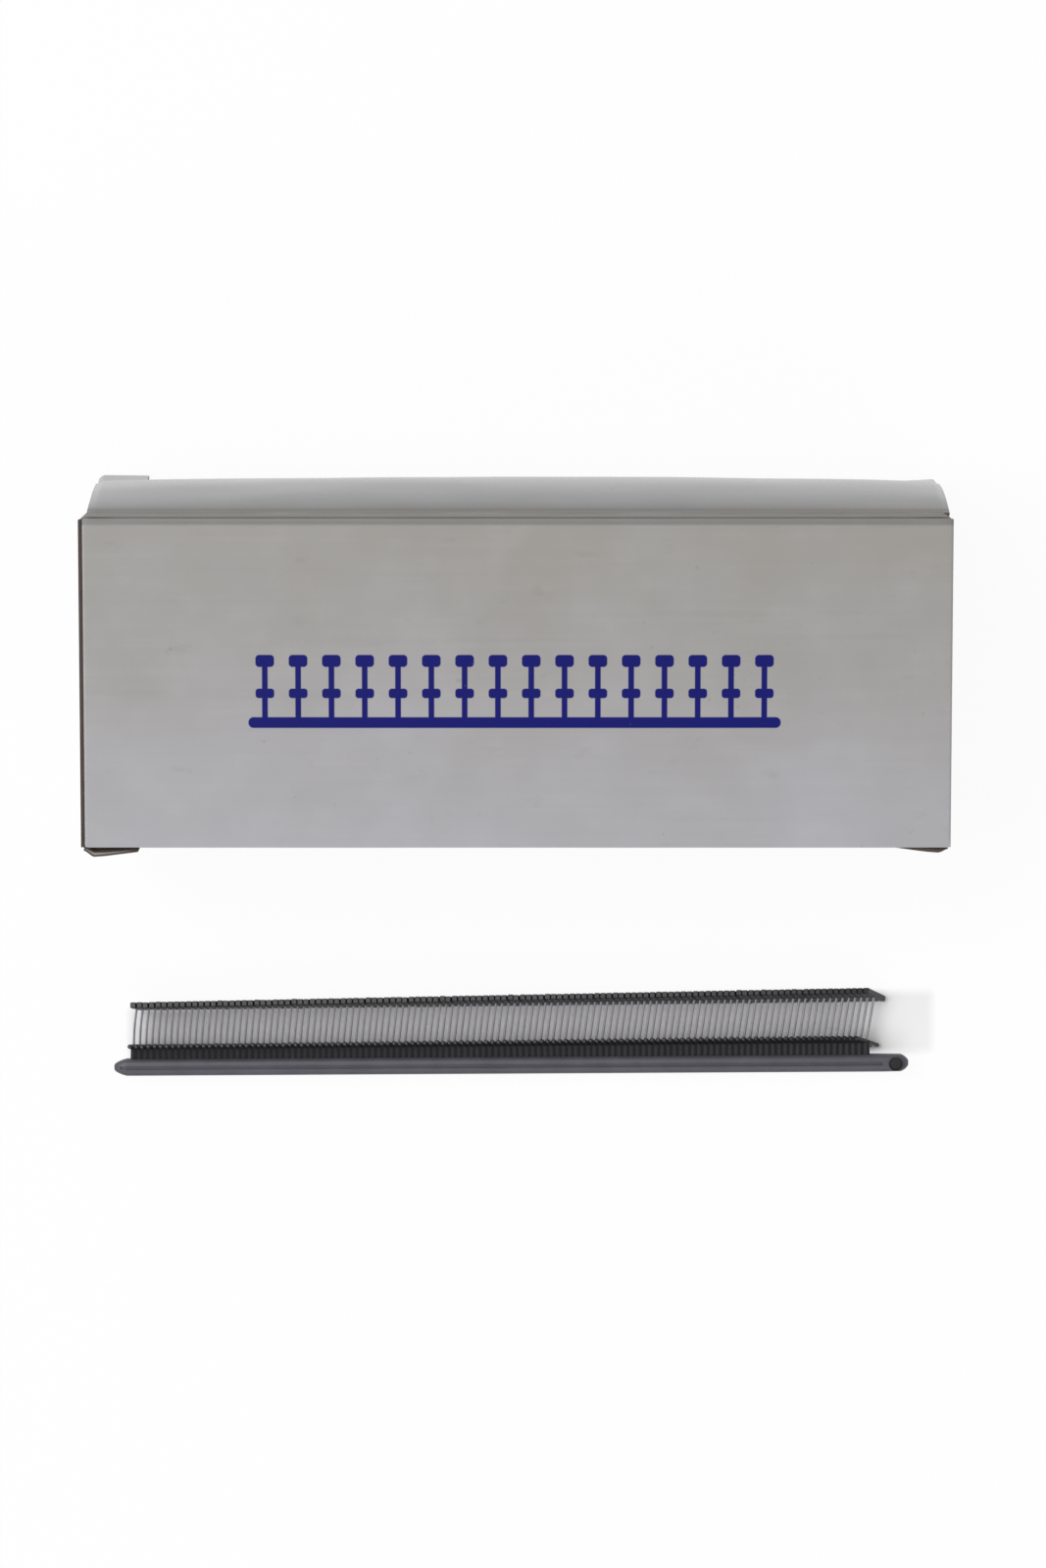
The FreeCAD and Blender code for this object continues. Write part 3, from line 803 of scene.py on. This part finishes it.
def crease_bead(look):
    """The rounded ridge of the crease, with the wrinkles that folding leaves along it."""
    radius = DEPTH - HINGE.z
    bm = cylinder(2 * radius, 2 * HALF_LID, BEAD_SEGMENTS)
    long_edges = [edge for edge in bm.edges if edge.calc_length() > HALF_LID]
    bmesh.ops.subdivide_edges(bm, edges=long_edges, cuts=BEAD_CUTS, use_grid_fill=True)
    lie = Matrix.Rotation(math.pi / 2, 4, "Y")
    bmesh.ops.transform(bm, matrix=lie, verts=bm.verts)

    def wrinkled(co):
        angle = math.degrees(math.atan2(co.z, co.y)) % 360
        wander = WRINKLE_WANDER * noise.noise(Vector((co.x / (14 * MM), 0, 0)))
        depth = 0.0
        for line, width, strength in WRINKLES:
            gap = (angle - line - wander) / width
            patchy = 0.55 + 0.45 * noise.noise(Vector((co.x / (6 * MM), line, 0)))
            depth += strength * patchy * math.exp(-gap * gap)
        lost = BEAD_LOSS * max(0, 1 - (HALF_LID - abs(co.x)) / BEAD_TAPER)
        settle = 0.03 * (1 + noise.noise(Vector((co.x / (22 * MM), 4.0, 0))))
        reach = radius * (0.98 - lost - settle) - look.wrinkles * depth * (1 - lost)
        spot = Vector((0, co.y, co.z)).normalized() * reach
        spot.y = min(spot.y, spot.y * BEAD_OUTER / radius)
        return Vector((co.x, 0, 0)) + spot + Vector((0, -1.1, 0.6)) * radius * lost

    bend(bm, wrinkled)
    bmesh.ops.translate(bm, vec=HINGE, verts=bm.verts)
    return new_mesh(bm, "bead")


def tuck_board(name, node, crease, shape, bottom):
    """The flap that tucks in behind the edge of the panel opposite the hinge."""
    half_width = TUCK_HIGH.x
    half_crease = HALF_LID - shape["shoulder"] - SLIT_WIDTH / 2
    low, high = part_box(node)
    length = (high.y - low.y - BOARD / 2) / math.cos(TUCK_LEAN)
    sheet = Sheet(-half_width, half_width, -length, BOARD / 2)
    sheet.cut((0, -SLIT_WIDTH), (0, 1))
    for side in (-1, 1):
        sheet.cut((side * half_crease, 0), (1, 0))
        sheet.round_corner((side * half_width, -length), (side, 0), (0, -1), TUCK_CORNER)
    sheet.remove(lambda centre: abs(centre.x) > half_crease and centre.y > -SLIT_WIDTH)
    lean = Matrix.Rotation(-TUCK_LEAN, 3, "X")
    sheet.lay(lambda flat: crease + lean @ Vector((flat.x, flat.y, -BOARD / 2)), -Z_AXIS)
    sheet.thicken()
    back = crease + lean @ Vector((0, BOARD / 2, 0))
    sheet.fold(lambda co: co.y > back.y - 0.12 * MM, BOARD * KNUCKLE_SHARE, both_sides=True)
    sheet.show_core()
    sheet.add(name, node, bottom=bottom)


def dust_board(name, node, right, bottom):
    """A flap of a side panel that closes a corner of the carton's end, under the closure panel."""
    left, tip = DUST_LOW.x, DUST_HIGH.x
    low, high = DUST_LOW.z, DUST_HIGH.z
    hinge_x = left + BOARD / 2
    tip_top = high - DUST_TAPER * (tip - hinge_x)
    slope = (DUST_TAPER, 1)
    sheet = Sheet(left, tip, low, high)
    sheet.cut((hinge_x, high), slope, remove=True)
    sheet.round_corner((tip, tip_top), slope, (1, 0), DUST_CORNER)
    sheet.round_corner((tip, low), (1, 0), (0, -1), DUST_CORNER)
    sheet.lay(lambda flat: Vector((flat.x, DUST_HIGH.y, flat.y)), Y_AXIS)
    sheet.thicken()
    sheet.fold(lambda co: co.x < left + SAME, BOARD * KNUCKLE_SHARE, both_sides=True)
    sheet.show_core()
    sheet.add(name, node, right, bottom)


# ==== Clips, drawn with the runner on the X axis and the pins towards +Y ====


def stamp(bm, mesh, matrix):
    """Adds a copy of mesh, moved by matrix, and returns its points."""
    count = len(bm.verts)
    bm.from_mesh(mesh)
    bm.verts.ensure_lookup_table()
    added = bm.verts[count:]
    bmesh.ops.transform(bm, matrix=matrix, verts=added)
    return added


def rod_mesh(name, length, diameter, sides, end_radius=0.0, cuts=0, top_diameter=None, slot=0):
    bm = cylinder(diameter, length, sides, top_diameter)

    def edges(lengthwise):
        return [edge for edge in bm.edges if (abs(edge.verts[0].co.z - edge.verts[1].co.z) > SAME) == lengthwise]

    if end_radius:
        bevel(bm, edges(False), end_radius)
    if cuts:
        bmesh.ops.subdivide_edges(bm, edges=edges(True), cuts=cuts, use_grid_fill=True)
    return new_mesh(bm, name, slot)


def paddle_mesh(edge_radius=0.0):
    bm = block(PADDLE)
    if edge_radius:
        bevel(bm, bm.edges[:], edge_radius)
    return new_mesh(bm, "paddle")


def aimed(place, direction, axis):
    """A matrix that puts the origin at place and turns axis to direction."""
    return Matrix.Translation(place) @ axis.rotation_difference(direction).to_matrix().to_4x4()


def runner_bm():
    """The bar that carries the pins, with its grooves and the stud near its right end."""
    left = -PINS_LENGTH / 2 - RUNNER_LEFT_END
    right = PINS_LENGTH / 2 + RUNNER_RIGHT_END
    bm = block((right - left, RUNNER_WIDTH, RUNNER_THICKNESS), ((left + right) / 2, 0, 0))
    long_edges = [edge for edge in bm.edges if edge.calc_length() > RUNNER_WIDTH * 2]
    bevel(bm, long_edges, RUNNER_EDGE, 4)
    bm.normal_update()
    rims = [edge for edge in bm.edges if abs(edge.verts[0].co.x - edge.verts[1].co.x) < SAME]
    bevel(bm, rims, RUNNER_END, 3)
    groove_left, groove_right = left + 2 * RUNNER_END, right - 2 * STUD_INSET
    for x in (groove_left, groove_right):
        cut_mesh(bm, (x, 0, 0), X_AXIS)
    for side in (-1, 1):
        cut_mesh(bm, (0, side * GROOVE_WIDTH / 2, 0), Y_AXIS)
    bm.normal_update()

    def in_groove(face):
        centre = face.calc_center_median()
        flat = abs(face.normal.z) > 0.9
        return flat and abs(centre.y) < GROOVE_WIDTH / 2 and groove_left < centre.x < groove_right

    floors = [face for face in bm.faces if in_groove(face)]
    for face in bmesh.ops.extrude_discrete_faces(bm, faces=floors)["faces"]:
        down = math.copysign(GROOVE_DEPTH, -face.normal.z)
        bmesh.ops.translate(bm, vec=(0, 0, down), verts=face.verts)
    for step in range(1, TAPER_CUTS):
        for x in (left + RUNNER_TAPER * step / TAPER_CUTS, right - RUNNER_SHORT_TAPER * step / TAPER_CUTS):
            cut_mesh(bm, (x, 0, 0), X_AXIS)

    def tapered(co):
        rest = max(0, 1 - (co.x - left) / RUNNER_TAPER, 1 - (right - co.x) / RUNNER_SHORT_TAPER)
        share = 1 - RUNNER_TIP_LOSS * min(rest, 1) ** RUNNER_TAPER_POWER
        return Vector((co.x, co.y * share, co.z * share))

    bend(bm, tapered)
    # The whole runner takes the finish with the painted sheen.
    for face in bm.faces:
        face.material_index = RUNNER_SHEEN
    stud = stud_mesh()
    stamp(bm, stud, Matrix.Translation((right - STUD_INSET, 0, 0)))
    discard(stud)
    return bm


def stud_mesh():
    """The round, hollowed stud that tells one end of the clip from the other."""
    height = RUNNER_THICKNESS / 2 + STUD_HEIGHT
    bm = cylinder(STUD_DIAMETER, height, STUD_SIDES)
    bmesh.ops.translate(bm, vec=(0, 0, height / 2), verts=bm.verts)
    bm.normal_update()
    top = [face for face in bm.faces if face.normal.z > 0.9]
    bmesh.ops.inset_individual(bm, faces=top, thickness=STUD_RIM, depth=0)
    bmesh.ops.inset_individual(bm, faces=top, thickness=STUD_FUNNEL, depth=-STUD_HOLLOW)
    return new_mesh(bm, "stud")


def along_clip(first_and_last, share):
    first, last = first_and_last
    return first + share * (last - first)


def loose_pins():
    """The clip taken out, with every pin as it lies in the flexible comb."""
    t_bar = rod_mesh("t_bar", T_BAR_LENGTH, T_BAR_DIAMETER, 8, T_BAR_EDGE)
    neck_length = RUNNER_TO_T_BAR - PINS_ROOT
    neck = rod_mesh("neck", neck_length, NECK_ROOT, 6, top_diameter=NECK_DIAMETER)
    filament = rod_mesh("filament", 1.0, FILAMENT_DIAMETER, 6, cuts=4, slot=DRAWN)
    paddle = paddle_mesh(PADDLE_EDGE)
    bm = runner_bm()
    for number in range(PIN_COUNT):
        share = number / (PIN_COUNT - 1)
        x = (share - 0.5) * PINS_LENGTH
        uneven = UNEVENNESS * noise.noise(Vector((number * 0.83, 0, 0)))
        back = along_clip(LEAN_BACK, share) + uneven
        side = along_clip(LEAN_SIDE, share) - uneven
        t_bar_centre = Vector((x, RUNNER_TO_T_BAR - along_clip(T_BAR_SQUEEZE, share), 0))
        paddle_x = x + along_clip(PADDLE_DRIFT, share)
        paddle_y = RUNNER_TO_T_BAR + T_BAR_TO_PADDLE + along_clip(PADDLE_SPREAD, share)
        paddle_centre = Vector((paddle_x, paddle_y, 0))
        reach = paddle_centre - t_bar_centre
        stamp(bm, t_bar, aimed(t_bar_centre, leaning(side + LAST_FLARE * share ** FLARE_POWER, back), Z_AXIS))
        stamp(bm, paddle, aimed(paddle_centre, leaning(side + PADDLE_FLARE * share ** FLARE_POWER, back), Z_AXIS))
        neck_centre = Vector((x, PINS_ROOT + neck_length / 2, 0))
        stamp(bm, neck, Matrix.Translation(neck_centre) @ Matrix.Rotation(-math.pi / 2, 4, "X"))
        stretch = Matrix.Diagonal((1, 1, reach.length, 1))
        thread = stamp(bm, filament, aimed((t_bar_centre + paddle_centre) / 2, reach, Z_AXIS) @ stretch)
        bow = FIRST_BOW * (1 - share) ** BOW_POWER
        for vert in thread:
            along = (vert.co - t_bar_centre).dot(reach) / reach.length_squared
            vert.co.x -= bow * math.sin(math.pi * min(max(along, 0), 1))
    discard(t_bar, neck, filament, paddle)
    return bm


def leaning(side, back):
    """The direction of a pin's length, from the degrees it leans to -X and to +Y."""
    return Vector((-math.tan(math.radians(side)), math.tan(math.radians(back)), 1)).normalized()


def boxed_pins():
    """A clip as it lies in the stack, with its pins upright."""
    t_bar = rod_mesh("t_bar", T_BAR_LENGTH, T_BAR_DIAMETER, 6)
    paddle = paddle_mesh()
    web_length = RUNNER_TO_T_BAR + T_BAR_TO_PADDLE - PINS_ROOT
    web = rod_mesh("web", web_length, FILAMENT_DIAMETER, 4, slot=DRAWN)
    bm = runner_bm()
    for number in range(PIN_COUNT):
        x = number * PIN_PITCH - PINS_LENGTH / 2
        stamp(bm, t_bar, Matrix.Translation((x, RUNNER_TO_T_BAR, 0)))
        stamp(bm, paddle, Matrix.Translation((x, RUNNER_TO_T_BAR + T_BAR_TO_PADDLE, 0)))
        stamp(bm, web, aimed(Vector((x, PINS_ROOT + web_length / 2, 0)), Y_AXIS, Z_AXIS))
    discard(t_bar, paddle, web)
    return new_mesh(bm, "boxed_clip")


# ==== Settings that a user would change ====


def color_setting(name, description, *default):
    return bpy.props.FloatVectorProperty(
        name=name, description=description, default=default, min=0, max=1, subtype="COLOR")


def length_setting(name, description, default, **limits):
    return bpy.props.FloatProperty(
        name=name, description=description, default=default, subtype="DISTANCE", unit="LENGTH", **limits)


class CartonSettings(bpy.types.PropertyGroup):
    """Sizes and colours of the carton."""

    fold_radius: length_setting(
        "Fold radius", "Outer radius of the sleeve's folds", 0.42 * MM, min=0.05 * MM, max=0.45 * MM)
    dents: length_setting("Dents", "Depth of the shallow dents in the panels", 0.14 * MM, min=0, max=0.5 * MM)
    wrinkles: length_setting("Wrinkles", "Depth of the wrinkles along the creases", 0.2 * MM, min=0, max=0.4 * MM)
    # The printed side's warmer, darker tone is painted shade towards the sleeve's top end.
    shaded_warm_liner: color_setting("Shaded warm liner", "The printed side's warmer, darker tone, painted shade at the top", 0.345, 0.332, 0.312)
    cool_liner: color_setting("Liner", "The printed side's colour", 0.43, 0.424, 0.452)
    inside: color_setting("Inner side", "Colour of the uncoated inner side", 0.34, 0.31, 0.27)
    core: color_setting("Cut edge", "Colour of the board's core", 0.07, 0.052, 0.047)
    ink: color_setting("Ink", "Colour of the printed picture", 0.0, 0.0015, 0.13)


class ClipSettings(bpy.types.PropertyGroup):
    """Colours of the clips."""

    plastic: color_setting("Plastic", "Colour of the moulded pins", 0.010, 0.0095, 0.0115)
    # The filament's lighter grey is painted light: it stands for the light that comes through the thin thread.
    filament: color_setting("Filament", "Colour of the plastic drawn out to a thread", 0.28, 0.262, 0.297)


class StageSettings(bpy.types.PropertyGroup):
    """Light, floor and camera."""

    floor: color_setting("Floor", "Colour of the floor", 0.93, 0.93, 0.93)
    sky: bpy.props.FloatProperty(
        name="Sky", description="Strength of the even light from all round", default=0.4, min=0)
    key: bpy.props.FloatProperty(
        name="Key lamp", description="Power of the large soft lamp at the upper left", default=15.5, min=0,
        unit="POWER")
    fill: bpy.props.FloatProperty(
        name="Fill lamp", description="Power of the soft lamp in front", default=3.0, min=0, unit="POWER")
    tilt: bpy.props.FloatProperty(
        name="Tilt", description="How far the camera looks from the lid's side",
        default=math.radians(7.8), subtype="ANGLE", unit="ROTATION")
    distance: length_setting("Distance", "From the camera to the front panel", 0.927, min=0.1)


# ==== Operators ====


class TAGPINS_OT_sleeve(bpy.types.Operator):
    """Models the four panels of the carton's sleeve and its glue flap"""

    bl_idname = "tag_pins.sleeve"
    bl_label = "Sleeve"

    def execute(self, context):
        ends_of_x = [(0, 1), (0, -1)]
        sleeve_board("front_panel", "front_board", Z_AXIS, ends_of_x, creased=1, printed=True)
        sleeve_board("back_panel", "back_board", -Z_AXIS, ends_of_x, creased=-1)
        side_board("right_side_panel", "right_side_board", X_AXIS)
        side_board("left_side_panel", "left_side_board", -X_AXIS, ragged=0.12 * MM)
        glue_board()
        return {"FINISHED"}


class TAGPINS_OT_closures(bpy.types.Operator):
    """Models the lid and the bottom closure, each with its tuck flap"""

    bl_idname = "tag_pins.closures"
    bl_label = "Closures"

    def execute(self, context):
        lid_crease = JOINT_AT["lid_tuck_fold"]
        turned = JOINT_AT["bottom_tuck_fold"]
        bottom_crease = Vector((0, -turned.y, DEPTH - turned.z))
        closures = (("lid", lid_crease, LID, False), ("bottom", bottom_crease, BOTTOM, True))
        for end, *rest in closures:
            closure_board(f"{end}_board", f"{end}_panel", *rest)
        for end, *rest in closures:
            tuck_board(f"{end}_tuck_board", f"{end}_tuck_flap", *rest)
        return {"FINISHED"}


class TAGPINS_OT_dust_flaps(bpy.types.Operator):
    """Models the four dust flaps"""

    bl_idname = "tag_pins.dust_flaps"
    bl_label = "Dust flaps"

    def execute(self, context):
        for end in ("top", "bottom"):
            for side in ("left", "right"):
                place = f"{end}_{side}_dust"
                dust_board(f"{place}_board", f"{place}_flap", side == "right", end == "bottom")
        return {"FINISHED"}


class TAGPINS_OT_boxed_clips(bpy.types.Operator):
    """Models the clips that lie stacked in the carton"""

    bl_idname = "tag_pins.boxed_clips"
    bl_label = "Boxed clips"

    def execute(self, context):
        clip = boxed_pins()
        for node in sorted(name for name in frame["nodes"] if name.startswith("boxed_clip_")):
            low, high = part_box(node)
            pins_middle = high.x - RUNNER_LEFT_END - PINS_LENGTH / 2
            runner_axis = high.y - RUNNER_WIDTH / 2
            turned = Matrix.Translation((pins_middle, runner_axis, (low.z + high.z) / 2))
            turned = turned @ Matrix.Rotation(math.pi, 4, "Z")
            bm = bmesh.new()
            stamp(bm, clip, turned)
            add_piece(bm, node.replace("boxed_clip", "boxed_pins"), node, pin_finishes())
        discard(clip)
        return {"FINISHED"}


class TAGPINS_OT_loose_clip(bpy.types.Operator):
    """Models the clip that was taken out"""

    bl_idname = "tag_pins.loose_clip"
    bl_label = "Loose clip"

    def execute(self, context):
        low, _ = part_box("loose_clip")
        bm = loose_pins()
        bmesh.ops.transform(bm, matrix=Matrix.Rotation(CLIP_TURN, 4, "Z"), verts=bm.verts)
        to_box = [low[way] - min(vert.co[way] for vert in bm.verts) for way in range(3)]
        bmesh.ops.translate(bm, vec=to_box, verts=bm.verts)
        add_piece(bm, "loose_pins", "loose_clip", pin_finishes())
        return {"FINISHED"}


class TAGPINS_OT_stage(bpy.types.Operator):
    """Sets up the floor, the light and the camera"""

    bl_idname = "tag_pins.stage"
    bl_label = "Stage"

    def execute(self, context):
        scene = context.scene
        look = scene.tag_pin_stage
        scene.view_settings.view_transform = "Standard"
        add_floor(look)
        add_sky(look)
        add_lamp("key_lamp", KEY_LAMP, look.key)
        add_lamp("fill_lamp", FILL_LAMP, look.fill)
        scene.camera = add_camera(look)
        return {"FINISHED"}


# ==== Stage ====

IMAGE_LONG_SIDE = 1600  # pixels
FOCAL_PIXELS = 6115
SENSOR = 36 * MM
AIM_X = 1.1 * MM
AIM_ABOVE = -15.4 * MM
CLIP_RANGE = (0.01, 20)
FLOOR_REACH = 3  # metres from its middle to its edges
FLOOR_DROP = 0.05 * MM  # below what lies on it
LAMP_TARGET = Vector((0, -0.02, 0.02))
KEY_LAMP = ((-0.7, 0.33, 1.32), (1.2, 0.9))  # its place and size
FILL_LAMP = ((0.3, -0.95, 1.1), (1.2, 0.5))

# The camera sees the floor's own white, but hardly any of it in a patch under the pins of the clip taken out, so that
# the gaps between them are grey. The patch belongs to the floor: it shows as a pale block past the clip's right end,
# and all of it stays there when the clip is lifted.
FLOOR_GLOW = (0.03, 0.93)  # share of its own white that shows: in the patch, elsewhere
PATCH_INSET = 4.0 * MM  # from the far side of the clip's box to the patch
PATCH_PAST_CLIP = 3.2 * MM  # beyond the right end of the clip's box
PATCH_SLANT = 0.021  # rise of the patch towards the right
PATCH_EDGE = (0.8 * MM, 1.6 * MM)  # middle and width of its soft border


def add_floor(look):
    """A pale floor. What the camera sees of it is mostly its own white, with a little of the shadows."""
    bm = bmesh.new()
    bmesh.ops.create_grid(bm, x_segments=1, y_segments=1, size=FLOOR_REACH)
    bmesh.ops.translate(bm, vec=(0, 0, -FLOOR_DROP), verts=bm.verts)
    floor = new_object("floor", new_mesh(bm, "floor"))
    finish = Finish("pale_floor")
    finish.set(Base_Color=look.floor, Roughness=0.9, Specular_IOR_Level=0.1)
    camera, glossy, through = (
        finish.node("ShaderNodeLightPath", output=f"Is {kind} Ray") for kind in ("Camera", "Glossy", "Transmission"))
    x, y, _ = finish.axes()
    low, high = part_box("loose_clip")
    low += Vector((RUNNER_LEFT_END, RUNNER_WIDTH, 0))
    high += Vector((PATCH_PAST_CLIP, -PATCH_INSET, 0))
    middle, reach = (low + high) / 2, (high - low) / 2
    across = x - middle.x
    up = y - middle.y - across * PATCH_SLANT
    beside = rounded_box(across, up, reach.x, reach.y, SAME).above(*PATCH_EDGE)
    seen = camera * (FLOOR_GLOW[0] + (FLOOR_GLOW[1] - FLOOR_GLOW[0]) * beside)
    white = seen.at_least(glossy * beside).at_least(through)
    glow = finish.node("ShaderNodeEmission", values={"Color": (1, 1, 1), "Strength": 1.0})
    lit = Varying(finish, finish.shader.outputs["BSDF"])
    mixed = finish.node("ShaderNodeMixShader", values={0: white, 1: lit, 2: glow})
    finish.feed(finish.nodes["Material Output"].inputs["Surface"], mixed)
    floor.data.materials.append(finish.material)


def add_sky(look):
    """Even light from all round, which the camera sees as white."""
    world = bpy.data.worlds.new("sky")
    bpy.context.scene.world = world
    tree = NodeTree(world)
    background = tree.nodes["Background"]
    seen = tree.node("ShaderNodeLightPath", output="Is Camera Ray")
    tree.feed(background.inputs["Color"], (1, 1, 1))
    tree.feed(background.inputs["Strength"], look.sky + (1 - look.sky) * seen)


def add_lamp(name, place_and_size, power):
    place, size = place_and_size
    light = bpy.data.lights.new(name, "AREA")
    light.shape = "RECTANGLE"
    light.size, light.size_y = size
    light.energy = power
    lamp = new_object(name, light)
    lamp.location = place
    lamp.rotation_mode = "QUATERNION"
    lamp.rotation_quaternion = (LAMP_TARGET - Vector(place)).to_track_quat("-Z", "Y")


def add_camera(look):
    forward = Vector((0, -math.sin(look.tilt), -math.cos(look.tilt)))
    upward = Vector((0, math.cos(look.tilt), -math.sin(look.tilt)))
    camera = new_object("camera", bpy.data.cameras.new("camera"))
    camera.data.lens = FOCAL_PIXELS / IMAGE_LONG_SIDE * SENSOR / MM
    camera.data.sensor_width = SENSOR / MM
    camera.data.clip_start, camera.data.clip_end = CLIP_RANGE
    camera.location = Vector((AIM_X, 0, DEPTH)) - forward * look.distance + upward * AIM_ABOVE
    camera.rotation_euler = (-look.tilt, 0, 0)
    return camera


# ==== Add-on ====

BUILD_STEPS = (
    TAGPINS_OT_stage,
    TAGPINS_OT_sleeve,
    TAGPINS_OT_closures,
    TAGPINS_OT_dust_flaps,
    TAGPINS_OT_boxed_clips,
    TAGPINS_OT_loose_clip,
)


class TAGPINS_PT_sidebar(bpy.types.Panel):
    """Lists the steps that build the pack"""

    bl_idname = "TAGPINS_PT_sidebar"
    bl_label = "Tag Pin Pack"
    bl_space_type = "VIEW_3D"
    bl_region_type = "UI"
    bl_category = "Tag Pins"

    def draw(self, context):
        for group in SETTINGS:
            settings = getattr(context.scene, group)
            box = self.layout.box()
            for name in settings.__annotations__:
                box.prop(settings, name)
        for step in BUILD_STEPS:
            self.layout.operator(step.bl_idname)


SETTINGS = {"tag_pin_carton": CartonSettings, "tag_pin_clips": ClipSettings, "tag_pin_stage": StageSettings}
CLASSES = (*SETTINGS.values(), *BUILD_STEPS, TAGPINS_PT_sidebar)


def register():
    for each in CLASSES:
        bpy.utils.register_class(each)
    for name, group in SETTINGS.items():
        setattr(bpy.types.Scene, name, bpy.props.PointerProperty(type=group))


def unregister():
    for name in SETTINGS:
        delattr(bpy.types.Scene, name)
    for each in reversed(CLASSES):
        bpy.utils.unregister_class(each)


def main():
    register()
    for step in BUILD_STEPS:
        group, name = step.bl_idname.split(".")
        getattr(getattr(bpy.ops, group), name)()


if __name__ == "__main__":
    main()
